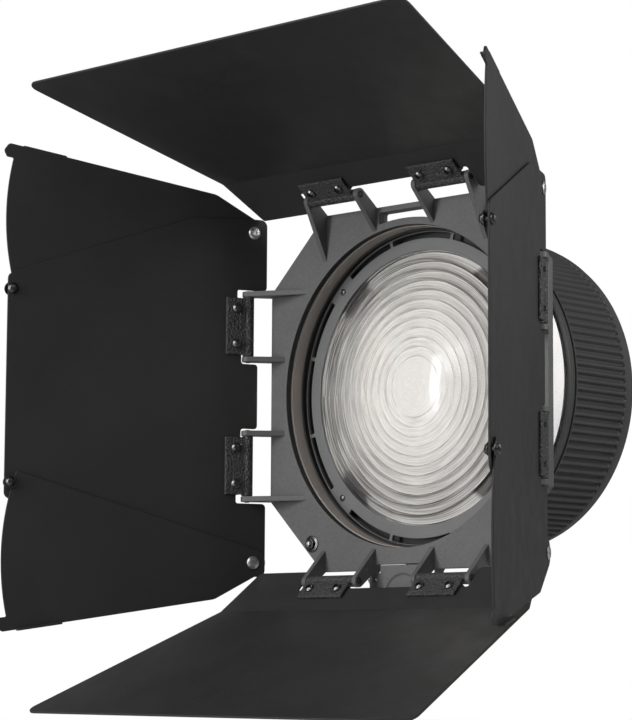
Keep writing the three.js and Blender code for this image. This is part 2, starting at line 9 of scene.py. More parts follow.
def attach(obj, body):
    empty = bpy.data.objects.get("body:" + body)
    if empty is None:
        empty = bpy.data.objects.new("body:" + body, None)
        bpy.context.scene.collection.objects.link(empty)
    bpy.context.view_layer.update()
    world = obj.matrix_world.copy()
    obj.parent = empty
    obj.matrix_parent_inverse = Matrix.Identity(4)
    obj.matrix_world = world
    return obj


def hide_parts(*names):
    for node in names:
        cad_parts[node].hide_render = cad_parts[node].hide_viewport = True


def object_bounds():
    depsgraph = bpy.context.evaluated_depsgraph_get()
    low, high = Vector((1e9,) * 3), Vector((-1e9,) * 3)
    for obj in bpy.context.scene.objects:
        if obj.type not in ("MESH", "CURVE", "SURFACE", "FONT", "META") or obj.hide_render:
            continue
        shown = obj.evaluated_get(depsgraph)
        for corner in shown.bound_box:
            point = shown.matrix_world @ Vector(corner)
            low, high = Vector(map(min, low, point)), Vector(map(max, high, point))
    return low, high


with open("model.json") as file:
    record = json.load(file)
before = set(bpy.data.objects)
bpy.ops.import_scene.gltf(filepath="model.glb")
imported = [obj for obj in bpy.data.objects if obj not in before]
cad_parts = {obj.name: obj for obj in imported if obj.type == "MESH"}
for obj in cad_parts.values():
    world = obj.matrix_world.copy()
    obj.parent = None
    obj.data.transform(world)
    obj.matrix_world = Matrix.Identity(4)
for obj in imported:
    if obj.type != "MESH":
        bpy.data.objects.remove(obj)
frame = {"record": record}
cad_low, cad_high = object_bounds()

# Sizes are in millimetres until a mesh is finished. A depth is measured back from a plane 3 mm behind the
# front of the door frame.
MM = 0.001
SEAT_DEPTH = 165  # of the bayonet's flange, which is at y = 0
FRAME_FACE = -3  # depth of the frame's front face

FRAME_HALF = 132  # half the frame's width and height
FRAME_FLAT = 78.5  # half of each of its long sides
OPENING_R = 116
BOLT = (88.5, -111.1)  # x and z of the right clip bolt
LATCH_Z = -138.4  # height of the latch's pin
EAR_INNER = 29.5  # the inner faces of the latch's ears, from the middle

HINGE_R = 139.8  # from the lens axis to a hinge's axis
HINGE_DEPTH = -20
HINGE_OFFSET = 52.4  # the middle of a hinge, from the middle of its side
HINGE_LENGTH = 42.8
HINGE_BORE = 2.3  # its radius
ARM = 4  # thickness of a hinge arm, and the inner faces of the arms, from the middle of the side
ARM_INNER, ARM_OUTER = 25.8, 75

SHEET = 1.6  # thickness of a door or a leaf
GAP = 0.3  # between a sheet and what lies on it
EDGE = 0.35  # how far a sheet's edges are rounded
BEND_AT, BEND, BEND_R = 30.2, math.radians(21.5), 5.0  # the fold in the top and bottom doors
FLANGE_FACE = -3.2  # the outer face of a hinge's flange, from the middle of the sheet
RIVET = Vector((-4.15, 124.1))  # a leaf's pivot, and the radii about it of the leaf's edge and its stop
LEAF_R = 193.2
STOP_R = 195.4
STOP_ANGLE = -16

LENS_CENTRE_R = 21.8  # the smooth middle, with rings of LENS_ZONE width round it
LENS_ZONE = 6.97
LENS_ZONES = 11
LENS_CURVE = 107  # radius of the curve that the rings share
LENS_PEAK = 14.8  # depth of the outer crests, and how far the middle ones stand out from them
LENS_DOME = 5
GUIDE_PIN_DEPTH = 92
RIBS = 120  # round the focus grip

CAMERA_LENS = 127.14  # for a 36 mm sensor
FLOOR_SIDE, FLOOR_DROP = 0.95, 0.06  # in metres

THIRDS = (90, 210, 330)
QUARTERS = (45, 135, 225, 315)
# takes a bar's x, y and z to y, z and x
UPRIGHT = Matrix(((0, 0, 1, 0), (1, 0, 0, 0), (0, 1, 0, 0), (0, 0, 0, 1)))

# "turn" takes the right side of the frame to the door's side, about +Y. "angle" is how far the door stands
# forward of the frame's plane. "tips" are how far its outer and inner arms' roots are from the lens axis.
DOORS = {
    "top": {"turn": -90, "angle": 50.5, "ends": ("left", "right"), "tips": (96.5, 114.5)},
    "bottom": {"turn": 90, "angle": 44, "ends": ("right", "left"), "tips": (115.8, 115.8)},
    "left": {"turn": 180, "angle": 66.5, "ends": ("lower", "upper"), "tips": (94.5, 117)},
    "right": {"turn": 0, "angle": 61.5, "ends": ("upper", "lower"), "tips": (94.5, 117)},
}
BODY_OF = {n: body for body, nodes in frame["record"]["behaviour"]["bodies"].items() for n in nodes}


def y_at(depth):
    return depth - SEAT_DEPTH


def behind(distance):
    """The y value this far behind the frame's front face."""
    return FRAME_FACE + distance - SEAT_DEPTH


def by_depth(profile):
    """A profile of (radius, depth) corners, with each depth turned into a y value."""
    return [(radius, y_at(depth), *fillet) for radius, depth, *fillet in profile]


def polar(centre, radius, degrees):
    angle = math.radians(degrees)
    return (centre[0] + radius * math.cos(angle), centre[1] + radius * math.sin(angle))


# ---------------------------------------------------------------- outlines
def rounded(points, steps=5):
    """A closed outline of (x, y) pairs. A corner given as (x, y, radius) becomes an arc."""
    made = []
    for i, corner in enumerate(points):
        here = Vector(corner[:2])
        if len(corner) < 3 or corner[2] <= 0:
            made.append(tuple(here))
            continue
        to_last = Vector(points[i - 1][:2]) - here
        to_next = Vector(points[(i + 1) % len(points)][:2]) - here
        half = to_last.angle(to_next) / 2
        reach = min(corner[2] / math.tan(half), to_last.length * 0.49, to_next.length * 0.49)
        radius = reach * math.tan(half)
        if radius < 1e-6 or half > math.pi / 2 - 1e-3:
            made.append(tuple(here))
            continue
        start, end = here + to_last.normalized() * reach, here + to_next.normalized() * reach
        centre = here + (to_last.normalized() + to_next.normalized()).normalized() * (radius / math.sin(half))
        first, swing = start - centre, (start - centre).angle_signed(end - centre)
        for k in range(steps + 1):
            turn = -swing * k / steps
            made.append(
                (
                    centre.x + first.x * math.cos(turn) - first.y * math.sin(turn),
                    centre.y + first.x * math.sin(turn) + first.y * math.cos(turn),
                )
            )
    return made


def arc(centre, radius, start, end, steps):
    return [polar(centre, radius, start + (end - start) * k / steps) for k in range(steps + 1)]


def circle(centre, radius, steps=24):
    return arc(centre, radius, 0, 360 * (1 - 1 / steps), steps - 1)


def ring_part(inner, outer, start, end, steps, corner):
    """The outline of a part of a flat ring about the lens axis, with rounded corners."""
    points = arc((0, 0), outer, start, end, steps) + arc((0, 0), inner, end, start, steps)
    corners = (0, steps, steps + 1, 2 * steps + 1)
    return [(*p, corner) if i in corners else p for i, p in enumerate(points)]


# ---------------------------------------------------------------- meshes
def clean(bm):
    bmesh.ops.remove_doubles(bm, verts=bm.verts, dist=1e-4)
    bmesh.ops.dissolve_degenerate(bm, edges=bm.edges, dist=1e-5)
    bmesh.ops.recalc_face_normals(bm, faces=bm.faces)
    if bm.calc_volume(signed=True) < 0:
        bmesh.ops.reverse_faces(bm, faces=bm.faces)


def to_mesh(bm):
    clean(bm)
    mesh = bpy.data.meshes.new("made")
    bm.to_mesh(mesh)
    bm.free()
    return mesh


def bridge(bm, a, b):
    """Faces between two closed rings of vertices. A ring may have shrunk to one vertex."""
    count = max(len(a), len(b))
    for k in range(count if count > 1 else 0):
        n = (k + 1) % count
        if len(a) == 1:
            bm.faces.new((a[0], b[k], b[n]))
        elif len(b) == 1:
            bm.faces.new((a[k], b[0], a[n]))
        else:
            bm.faces.new((a[k], b[k], b[n], a[n]))


def revolve(profile, segments=128, centre=None, along_x=False):
    """A body of revolution about a line along Y. The profile's (radius, y) corners may have a fillet radius.
    It closes on itself, or starts and ends on the line."""
    solid = profile[0][0] == 0
    bm = bmesh.new()
    rings = []
    for radius, y in rounded(profile):
        if radius < 1e-9:
            rings.append([bm.verts.new((0, y, 0))])
            continue
        ring = []
        for k in range(segments):
            angle = 2 * math.pi * k / segments
            ring.append(bm.verts.new((radius * math.cos(angle), y, radius * math.sin(angle))))
        rings.append(ring)
    for a, b in zip(rings, rings[1:] + ([] if solid else rings[:1])):
        bridge(bm, a, b)
    mesh = to_mesh(bm)
    if along_x:
        mesh.transform(Matrix.Rotation(-math.pi / 2, 4, "Z"))
    if centre:
        mesh.transform(Matrix.Translation(centre))
    return mesh


def filled(outline, holes, thickness, edge, edge_steps):
    """A flat plate in the x-y plane about z = 0 with rounded edges, from closed outlines."""
    curve = bpy.data.curves.new("outline", "CURVE")
    curve.dimensions, curve.fill_mode = "2D", "BOTH"
    curve.extrude = thickness / 2 - edge
    curve.bevel_depth, curve.bevel_resolution, curve.offset = edge, edge_steps, -edge
    for corners in [outline, *holes]:
        points = rounded(corners)
        spline = curve.splines.new("POLY")
        spline.points.add(len(points) - 1)
        for point, (x, y) in zip(spline.points, points):
            point.co = (x, y, 0, 1)
        spline.use_cyclic_u = True
    holder = bpy.data.objects.new("outline", curve)
    bpy.context.scene.collection.objects.link(holder)
    shown = holder.evaluated_get(bpy.context.evaluated_depsgraph_get())
    bm = bmesh.new()
    source = bpy.data.meshes.new_from_object(shown)
    bm.from_mesh(source)
    bpy.data.objects.remove(holder)
    bpy.data.curves.remove(curve)
    bpy.data.meshes.remove(source)
    return bm


def plate(outline, low, high, edge=0.4, holes=(), edge_steps=2):
    """A plate whose outline is in x and z, between two y values."""
    bm = filled(outline, holes, high - low, edge, edge_steps)
    bmesh.ops.transform(
        bm,
        matrix=Matrix.Translation((0, (low + high) / 2, 0)) @ Matrix.Rotation(math.pi / 2, 4, "X"),
        verts=bm.verts,
    )
    return to_mesh(bm)


def bar(outline, low, high, edge=0.4, holes=(), edge_steps=2):
    """A bar whose section is in x and y, between two z values."""
    bm = filled(outline, holes, high - low, edge, edge_steps)
    bmesh.ops.translate(bm, vec=(0, 0, (low + high) / 2), verts=bm.verts)
    return to_mesh(bm)


def side_matrix(door):
    """Turns a shape made for the right side of the frame to the door's side."""
    return Matrix.Rotation(math.radians(door["turn"]), 4, "Y")


def moved(mesh, matrix):
    copy = mesh.copy()
    copy.transform(matrix)
    return copy


def around(mesh, degrees):
    """The mesh turned about the lens axis, from +X towards +Z."""
    return moved(mesh, Matrix.Rotation(-math.radians(degrees), 4, "Y"))


def combined(parts, cuts=()):
    """One closed mesh: the parts joined, and the cuts taken away."""
    objects = [bpy.data.objects.new("part", m) for m in [*parts, *cuts]]
    for o in objects:
        bpy.context.scene.collection.objects.link(o)
    for i, other in enumerate(objects[1:], 1):
        step = objects[0].modifiers.new("join", "BOOLEAN")
        step.solver = "MANIFOLD"
        step.operation = "UNION" if i < len(parts) else "DIFFERENCE"
        step.object = other
    dg = bpy.context.evaluated_depsgraph_get()
    mesh = bpy.data.meshes.new_from_object(objects[0].evaluated_get(dg))
    for o in objects:
        bpy.data.objects.remove(o)
    return mesh


def piece(node, mesh, material, matrix=None, name=None, replaces=True, sharp=32):
    """Finishes a mesh as the visible piece for a CAD node, or as a small extra piece beside it."""
    mesh = mesh.copy()
    if matrix is not None:
        mesh.transform(matrix)
    mesh.transform(Matrix.Diagonal((MM, MM, MM, 1)))
    mesh.materials.clear()
    mesh.materials.append(material)
    mesh.shade_smooth()
    mesh.set_sharp_from_angle(angle=math.radians(sharp))
    obj = bpy.data.objects.new(name or f"look_{node}", mesh)
    bpy.context.scene.collection.objects.link(obj)
    normals = obj.modifiers.new("weighted normals", "WEIGHTED_NORMAL")
    normals.keep_sharp = True
    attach(obj, BODY_OF[node])
    if replaces:
        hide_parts(node)
    return obj


# ---------------------------------------------------------------- materials
class Nodes:
    """A short way to build a material's node tree."""

    def __init__(self, name, material=None):
        self.material = material or bpy.data.materials.new(name)
        self.material.use_nodes = True
        self.tree = self.material.node_tree
        self.shader = self.tree.nodes["Principled BSDF"]
        self.output = self.tree.nodes["Material Output"]
        self.place = self.add("ShaderNodeTexCoord").outputs["Object"]

    def add(self, kind, **settings):
        node = self.tree.nodes.new(kind)
        for key, value in settings.items():
            setattr(node, key, value)
        return node

    def link(self, a, b):
        self.tree.links.new(a, b)

    def noise(self, scale, detail=3, roughness=0.5, stretch=None):
        texture = self.add("ShaderNodeTexNoise")
        texture.inputs["Scale"].default_value = scale
        texture.inputs["Detail"].default_value = detail
        texture.inputs["Roughness"].default_value = roughness
        where = self.place
        if stretch:
            mapping = self.add("ShaderNodeMapping")
            mapping.inputs["Scale"].default_value = stretch
            self.link(where, mapping.inputs["Vector"])
            where = mapping.outputs["Vector"]
        self.link(where, texture.inputs["Vector"])
        return texture.outputs["Fac"]

    def ranged(self, value, low, high, to_low, to_high):
        node = self.add("ShaderNodeMapRange", clamp=True)
        self.link(value, node.inputs["Value"])
        for key, number in zip(("From Min", "From Max", "To Min", "To Max"), (low, high, to_low, to_high)):
            node.inputs[key].default_value = number
        return node.outputs["Result"]

    def math(self, operation, a, b):
        node = self.add("ShaderNodeMath", operation=operation)
        for socket, value in zip(node.inputs, (a, b)):
            if isinstance(value, (int, float)):
                socket.default_value = value
            else:
                self.link(value, socket)
        return node.outputs["Value"]

    def mix(self, amount, a, b):
        node = self.add("ShaderNodeMix", data_type="RGBA")
        for key, value in ((0, amount), (6, a), (7, b)):
            if isinstance(value, (tuple, list)):
                node.inputs[key].default_value = (*value, 1)
            elif isinstance(value, (int, float)):
                node.inputs[key].default_value = value
            else:
                self.link(value, node.inputs[key])
        return node.outputs[2]

    def bump(self, height, distance, strength=1.0, normal=None):
        node = self.add("ShaderNodeBump")
        node.inputs["Strength"].default_value = strength
        node.inputs["Distance"].default_value = distance
        self.link(height, node.inputs["Height"])
        if normal is not None:
            self.link(normal, node.inputs["Normal"])
        return node.outputs["Normal"]

    def edges(self, radius):
        """1 on edges sharper than the radius, and 0 on flat faces."""
        bevel = self.add("ShaderNodeBevel", samples=4)
        bevel.inputs["Radius"].default_value = radius
        geometry = self.add("ShaderNodeNewGeometry")
        dot = self.add("ShaderNodeVectorMath", operation="DOT_PRODUCT")
        self.link(bevel.outputs["Normal"], dot.inputs[0])
        self.link(geometry.outputs["Normal"], dot.inputs[1])
        return self.ranged(dot.outputs["Value"], 0.97, 0.75, 0, 1)


def grey(value, warmth=0.0):
    return (value * (1 + warmth), value, value * (1 - warmth))


def paint(name, colour, roughness, grain, bump, edge_wear_and_highlight, lighter, gloss=0.5):
    """Paint or moulded plastic: fine grain that stands up by bump metres, slow changes in tone, and edges
    that are lighter in patches, partly rubbed wear and partly a painted highlight where edges catch the
    light."""
    n = Nodes(name)
    slow = n.ranged(n.noise(14, 4), 0.3, 0.7, 0, 1)
    fine = n.noise(grain, 3, 0.6)
    dark = tuple(c * 0.88 for c in colour)
    light = tuple(c * 1.12 for c in colour)
    base = n.mix(slow, dark, light)
    speckle = n.ranged(fine, 0.35, 0.65, 0.88, 1.12)
    tinted = n.add("ShaderNodeMix", data_type="RGBA", blend_type="MULTIPLY")
    tinted.inputs[0].default_value = 1
    n.link(base, tinted.inputs[6])
    n.link(speckle, tinted.inputs[7])
    patchy = n.ranged(n.noise(220, 4, 0.7), 0.4, 0.62, 0, 1)
    # painted highlight: edges are lightened where they would catch the light, in patches that also read as
    # rubbed wear
    rubbed_and_highlit = n.math("MULTIPLY", n.math("MULTIPLY", n.edges(0.0006), patchy), edge_wear_and_highlight)
    worn_and_highlit = n.mix(rubbed_and_highlit, tinted.outputs[2], tuple(c * lighter for c in colour))
    n.link(worn_and_highlit, n.shader.inputs["Base Color"])
    dull = n.ranged(n.noise(60, 4), 0.3, 0.7, roughness - 0.05, roughness + 0.06)
    n.link(dull, n.shader.inputs["Roughness"])
    n.shader.inputs["Specular IOR Level"].default_value = gloss
    n.link(n.bump(fine, bump), n.shader.inputs["Normal"])
    return n.material


def crinkle_paint(name, colour, roughness):
    """Wrinkle-finish paint: a net of small raised folds that catch the light, with painted highlights on
    their tops and painted shade in the hollows.
    """
    n = Nodes(name)
    warp = n.add("ShaderNodeTexNoise")
    warp.inputs["Scale"].default_value = 700
    n.link(n.place, warp.inputs["Vector"])
    cells = n.add("ShaderNodeTexVoronoi", feature="SMOOTH_F1")
    cells.inputs["Scale"].default_value = 780
    shifted = n.add("ShaderNodeVectorMath", operation="MULTIPLY_ADD")
    n.link(warp.outputs["Color"], shifted.inputs[0])
    shifted.inputs[1].default_value = (0.0012, 0.0012, 0.0012)
    n.link(n.place, shifted.inputs[2])
    n.link(shifted.outputs["Vector"], cells.inputs["Vector"])
    height = n.ranged(cells.outputs["Distance"], 0.1, 0.75, 1, 0)
    # painted highlight and shade: the tops of the folds are lightened and the hollows darkened
    painted_fold_light = n.mix(height, tuple(c * 0.55 for c in colour), tuple(c * 1.5 for c in colour))
    n.link(painted_fold_light, n.shader.inputs["Base Color"])
    n.link(n.ranged(height, 0, 1, roughness + 0.15, roughness - 0.1), n.shader.inputs["Roughness"])
    n.link(n.bump(height, 0.0009), n.shader.inputs["Normal"])
    return n.material


def steel(name, colour, roughness, stretch=(1, 1, 1)):
    """Plated or machined metal with fine tool marks and faint stains."""
    n = Nodes(name)
    marks = n.noise(2600, 2, 0.5, stretch)
    stains = n.ranged(n.noise(260, 4), 0.35, 0.7, 0, 1)
    n.link(n.mix(stains, colour, tuple(c * 0.72 for c in colour)), n.shader.inputs["Base Color"])
    n.shader.inputs["Metallic"].default_value = 1
    n.link(n.ranged(marks, 0.3, 0.7, roughness - 0.07, roughness + 0.1), n.shader.inputs["Roughness"])
    n.link(n.bump(marks, 0.00006), n.shader.inputs["Normal"])
    return n.material


def around_axis(n):
    """The distance from the lens axis, the angle about it, and y, at each point."""
    spot = n.add("ShaderNodeSeparateXYZ")
    n.link(n.place, spot.inputs["Vector"])
    x, z = spot.outputs["X"], spot.outputs["Z"]
    radius = n.math("SQRT", n.math("ADD", n.math("MULTIPLY", x, x), n.math("MULTIPLY", z, z)), 0)
    return radius, n.math("ARCTAN2", z, x), spot.outputs["Y"]


def lens_glass(name):
    """Moulded glass: clear prisms in front and a stippled back that scatters the light."""
    n = Nodes(name)
    radius, angle, depth = around_axis(n)
    # zone runs from 0 to 1 across each ring, over its riser, its sloping face and its foot
    past_centre = n.math("SUBTRACT", radius, LENS_CENTRE_R * MM)
    zone = n.math("FRACT", n.math("DIVIDE", past_centre, LENS_ZONE * MM), 0)
    zoned = n.ranged(radius, (LENS_CENTRE_R - 0.6) * MM, (LENS_CENTRE_R - 0.3) * MM, 0, 1)
    rim = n.ranged(radius, 0.05, 0.098, 0, 1)
    outer = n.ranged(radius, 0.07, 0.09, 0, 1)
    steep, soft = n.ranged(zone, 0.2, 0.04, 0, 1), n.ranged(zone, 0.5, 0.2, 0, 1)
    shaded = n.math("ADD", steep, n.math("MULTIPLY", soft, outer))
    riser = n.math("MULTIPLY", n.math("MINIMUM", shaded, 1), zoned)
    foot = n.math("MULTIPLY", n.ranged(zone, 0.72, 1.0, 0, 1), zoned)

    # fine turned lines that follow the rings, and an even tone in the smooth middle
    turned = n.add("ShaderNodeCombineXYZ")
    n.link(n.math("MULTIPLY", n.math("ADD", radius, depth), 900), turned.inputs["X"])
    n.link(n.math("MULTIPLY", angle, 1.6), turned.inputs["Y"])
    rings = n.add("ShaderNodeTexNoise")
    rings.inputs["Scale"].default_value = 1
    rings.inputs["Detail"].default_value = 3
    n.link(turned.outputs["Vector"], rings.inputs["Vector"])
    lines = n.ranged(rings.outputs["Fac"], 0.4, 0.6, 0, 1)
    lines = n.math("MAXIMUM", lines, n.math("MULTIPLY", n.math("SUBTRACT", 1, zoned), 0.6))

    # dark pads of the lens seat, seen through the glass on both sides
    pads = []
    pad_half, pad_end = math.radians(8), math.radians(10.5)
    for middle in (132.5, -132.5, 47.5, -47.5):
        off = n.math("ABSOLUTE", n.math("SUBTRACT", angle, math.radians(middle)), 0)
        pads.append(n.ranged(off, pad_half, pad_end, 1, 0))
    pad = pads[0]
    for other in pads[1:]:
        pad = n.math("MAXIMUM", pad, other)
    pad = n.math("MULTIPLY", pad, n.ranged(radius, 0.0905, 0.0925, 0, 1))

    stipple = n.add("ShaderNodeTexVoronoi", feature="F1")
    stipple.inputs["Scale"].default_value = 620
    n.link(n.place, stipple.inputs["Vector"])
    height = n.ranged(stipple.outputs["Distance"], 0, 0.6, 1, 0)
    normal = n.bump(height, 0.00012, 0.6)

    # the light scattered through the glass, with painted shade at the risers and painted highlights at the
    # feet
    milk_and_painted_light = n.mix(lines, (0.72, 0.70, 0.67), (0.93, 0.92, 0.90))
    # painted shade: near the rim the glass is darkened between the turned lines
    painted_shade_between_lines = n.math("MULTIPLY", n.math("SUBTRACT", 1, lines), n.math("MULTIPLY", rim, 0.6))
    milk_and_painted_light = n.mix(painted_shade_between_lines, milk_and_painted_light, (0.2, 0.19, 0.18))
    # painted highlight: the feet of the rings are lightened towards white, more near the rim
    milk_and_painted_light = n.mix(n.math("MULTIPLY", foot, n.ranged(outer, 0, 1, 0.35, 0.9)), milk_and_painted_light, (1, 1, 1))
    # painted highlight: the turned lines leave bright streaks in the risers' painted shade
    painted_glint = n.math("SUBTRACT", 1, n.math("MULTIPLY", lines, n.ranged(outer, 0, 1, 0.1, 0.8)))
    # painted shade: the risers are darkened towards near black, most near the rim
    dark = n.math("MULTIPLY", n.math("MULTIPLY", riser, painted_glint), n.ranged(rim, 0, 1, 0.45, 1.0))
    milk_and_painted_light = n.mix(dark, milk_and_painted_light, (0.07, 0.068, 0.066))
    milk_and_painted_light = n.mix(n.math("MULTIPLY", pad, 0.8), milk_and_painted_light, (0.03, 0.03, 0.03))
    scatter = n.add("ShaderNodeBsdfTranslucent")
    n.link(milk_and_painted_light, scatter.inputs["Color"])
    n.link(normal, scatter.inputs["Normal"])
    # painted shade: the risers also darken the clear glass's colour
    painted_riser_shade = n.math("MULTIPLY", riser, n.ranged(outer, 0, 1, 0.6, 1.0))
    clear = n.mix(painted_riser_shade, (0.98, 0.975, 0.965), (0.2, 0.195, 0.19))
    n.link(n.mix(n.math("MULTIPLY", pad, 0.8), clear, (0.05, 0.05, 0.05)), n.shader.inputs["Base Color"])
    n.shader.inputs["Transmission Weight"].default_value = 0.85
    n.shader.inputs["Roughness"].default_value = 0.1
    n.shader.inputs["IOR"].default_value = 1.5
    n.shader.inputs["Coat Weight"].default_value = 1.0
    n.shader.inputs["Coat Roughness"].default_value = 0.04
    n.link(normal, n.shader.inputs["Normal"])
    blend = n.add("ShaderNodeMixShader")
    blend.inputs[0].default_value = 0.34
    n.link(scatter.outputs["BSDF"], blend.inputs[1])
    n.link(n.shader.outputs["BSDF"], blend.inputs[2])
    n.link(blend.outputs["Shader"], n.output.inputs["Surface"])
    return n.material


def tinted(material, shade_patches):
    """Paints shade onto parts of a round piece. Each patch of painted shade is a colour, an outer radius, and
    two depths between which it lies."""
    n = Nodes(material.name, material)
    radius, _, y = around_axis(n)
    for colour, outer, low, high in shade_patches:
        colour_now = n.shader.inputs["Base Color"].links[0].from_socket
        within = n.ranged(radius, (outer - 0.15) * MM, (outer + 0.15) * MM, 1, 0)
        after = n.ranged(y, y_at(low - 0.2) * MM, y_at(low + 0.2) * MM, 0, 1)
        before = n.ranged(y, y_at(high - 0.2) * MM, y_at(high + 0.2) * MM, 1, 0)
        amount = n.math("MULTIPLY", within, n.math("MULTIPLY", after, before))
        n.link(n.mix(amount, colour_now, colour), n.shader.inputs["Base Color"])
    return material


LOOKS = {
    "black_sheet": paint(
        "black_sheet", grey(0.0195), 0.5, grain=1100, bump=0.00005, edge_wear_and_highlight=0.5, lighter=3.2, gloss=0.28),
    # painted shade: the wall of the round opening is darkened to near black where it lies in shade
    "black_casting": tinted(
        paint("black_casting", grey(0.076, 0.004), 0.5, grain=800, bump=0.00009, edge_wear_and_highlight=0.4, lighter=1.7,
              gloss=0.35),
        [(grey(0.014), OPENING_R + 0.5, FRAME_FACE + 0.2, FRAME_FACE + 8)]),
    "crinkle_black": crinkle_paint("crinkle_black", grey(0.026), 0.5),
    "ring_plastic": paint(
        "ring_plastic", grey(0.042), 0.42, grain=1700, bump=0.00004, edge_wear_and_highlight=0.2, lighter=1.7, gloss=0.42),
    "grip_rubber": paint(
        "grip_rubber", grey(0.036), 0.5, grain=1300, bump=0.00008, edge_wear_and_highlight=0.5, lighter=2.0, gloss=0.4),
    # painted shade: the white wall in front of the lens is darkened to a warm grey, and the step behind the
    # retaining ring to black
    "white_paint": tinted(
        paint("white_paint", grey(0.9, 0.016), 0.38, grain=1600, bump=0.00003, edge_wear_and_highlight=0.1, lighter=0.8),
        [((0.31, 0.28, 0.256), OPENING_R + 0.5, -10, 18.2), (grey(0.012), 115.9, 18.2, 29.2)]),
    "lens_glass": lens_glass("lens_glass"),
    # painted shade: the retaining ring's lip is darkened to black
    "grey_trim": tinted(
        paint("grey_trim", grey(0.112, -0.004), 0.42, grain=1500, bump=0.00005, edge_wear_and_highlight=0.3, lighter=1.6,
              gloss=0.35),
        [(grey(0.012), OPENING_R + 0.5, 12, 16.8)]),
    "gasket_silicone": paint(
        "gasket_silicone", grey(0.7, 0.02), 0.6, grain=900, bump=0.00005, edge_wear_and_highlight=0.1, lighter=0.9),
    "bright_steel": steel("bright_steel", (0.62, 0.62, 0.61), 0.3),
    "black_steel": steel("black_steel", (0.085, 0.085, 0.088), 0.24),
    "screw_steel": steel("screw_steel", (0.17, 0.17, 0.175), 0.26),
    "bayonet_alloy": steel("bayonet_alloy", (0.66, 0.66, 0.65), 0.26, stretch=(1, 0.05, 1)),
}


# ---------------------------------------------------------------- rear housing and bayonet
def make_rear():
    shell = revolve(by_depth([
        (105.2, 62, 0.4), (105.2, 113.6, 0.3), (113.8, 113.6, 0.8), (113.8, 118.4, 0.6), (112.2, 120, 0.6),
        (107, 122.8, 3), (84, 140.4, 2), (82.6, 140.4, 0.4), (82, 141.8, 0.4), (64, 156, 4), (62, 161.7, 1),
        (41.5, 161.7, 0.3), (41.5, 158.7, 0.3), (60.2, 158.7, 1), (60.2, 154.5, 1), (102.5, 123.9, 2),
        (102.5, 62, 0.4)]), 160)
    slot = bar(by_depth([(100, 60), (107, 60), (107, 105, 2.3), (100, 105, 2.3)]), -2.4, 2.4, 0.1)
    slots = [around(slot, angle) for angle in THIRDS]
    piece("rear_housing", combined([shell], slots), LOOKS["ring_plastic"])

    seat = revolve(by_depth([
        (41.5, 162, 0.3), (60, 162, 0.4), (60, 165, 0.5), (46.4, 165, 0.3), (46.4, 164.2, 0.2),
        (44.8, 164.2, 0.3), (44.8, 174, 0.5), (41.5, 174, 0.5)]), 144)
    lug = plate(ring_part(44, 49.2, -14, 14, 12, 0.8), y_at(171), y_at(173.8), 0.4)
    hole = revolve(by_depth([(0, 161), (1.7, 161), (1.7, 166), (0, 166)]), 24, (53, 0, 0))
    holes = [around(hole, angle) for angle in THIRDS]
    notch = revolve(by_depth([(0, 160), (3, 160), (3, 168), (0, 168)]), 32, (60.6, 0, 0))
    ring = combined([seat, *[around(lug, a) for a in (30, 150, 270)]], [*holes, around(notch, 60)])
    piece("bayonet_ring", ring, LOOKS["bayonet_alloy"])


# ---------------------------------------------------------------- focus ring
def make_focus_ring():
    core = revolve(by_depth([
        (109.8, 46.3, 0.2), (113.6, 46.3, 0.3), (113.6, 41, 0.3), (114.6, 41, 0.3), (115.8, 42.4, 0.7),
        (115.8, 45, 0.5), (115.4, 46, 0.4), (115.4, 48.5, 0.3), (112.8, 48.5, 0.3), (112.8, 109.5, 0.3),
        (115.8, 109.5, 0.5), (115.8, 113.2, 0.8), (109.8, 113.2, 0.5)]), 192)
    piece("focus_ring", core, LOOKS["ring_plastic"])

    # the grip's ends are plain borders, and its grooves fall away from them and run between its ribs
    low, high, border, end_border, fall, chamfer = y_at(48.8), y_at(109.2), 1.2, 2.4, 1.6, 0.25
    start, end = low + border, high - end_border
    rows = [low + chamfer, start, start + 0.25 * fall, start + 0.6 * fall, start + fall,
            end - fall, end - 0.6 * fall, end - 0.25 * fall, end, high - chamfer]
    depths = [0, 0, 0.35, 0.8, 1, 1, 0.8, 0.35, 0, 0]
    # one rib's share of the way round, and how much of the groove's depth it has there
    across = [(0.0, 0.0), (0.08, 0.02), (0.18, 0.08), (0.27, 0.24), (0.34, 0.5), (0.41, 0.8), (0.49, 0.97),
              (0.58, 1.0), (0.67, 0.97), (0.75, 0.8), (0.82, 0.5), (0.9, 0.18)]
    bore, shoulder, top, groove = 113.1, 116.1, 116.4, 2.7
    stations = [(bore, low, 0), (shoulder, low, 0), *[(top, y, d) for y, d in zip(rows, depths)],
                (shoulder, high, 0), (bore, high, 0)]
    bm = bmesh.new()
    rings = []
    for radius, y, depth in stations:
        ring = []
        for rib in range(RIBS):
            for part, sink in across:
                angle = 2 * math.pi * (rib + part) / RIBS
                r = radius - groove * depth * sink
                ring.append(bm.verts.new((r * math.cos(angle), y, r * math.sin(angle))))
        rings.append(ring)
    for a, b in zip(rings, rings[1:] + rings[:1]):
        bridge(bm, a, b)
    piece("focus_grip", to_mesh(bm), LOOKS["grip_rubber"], sharp=50)


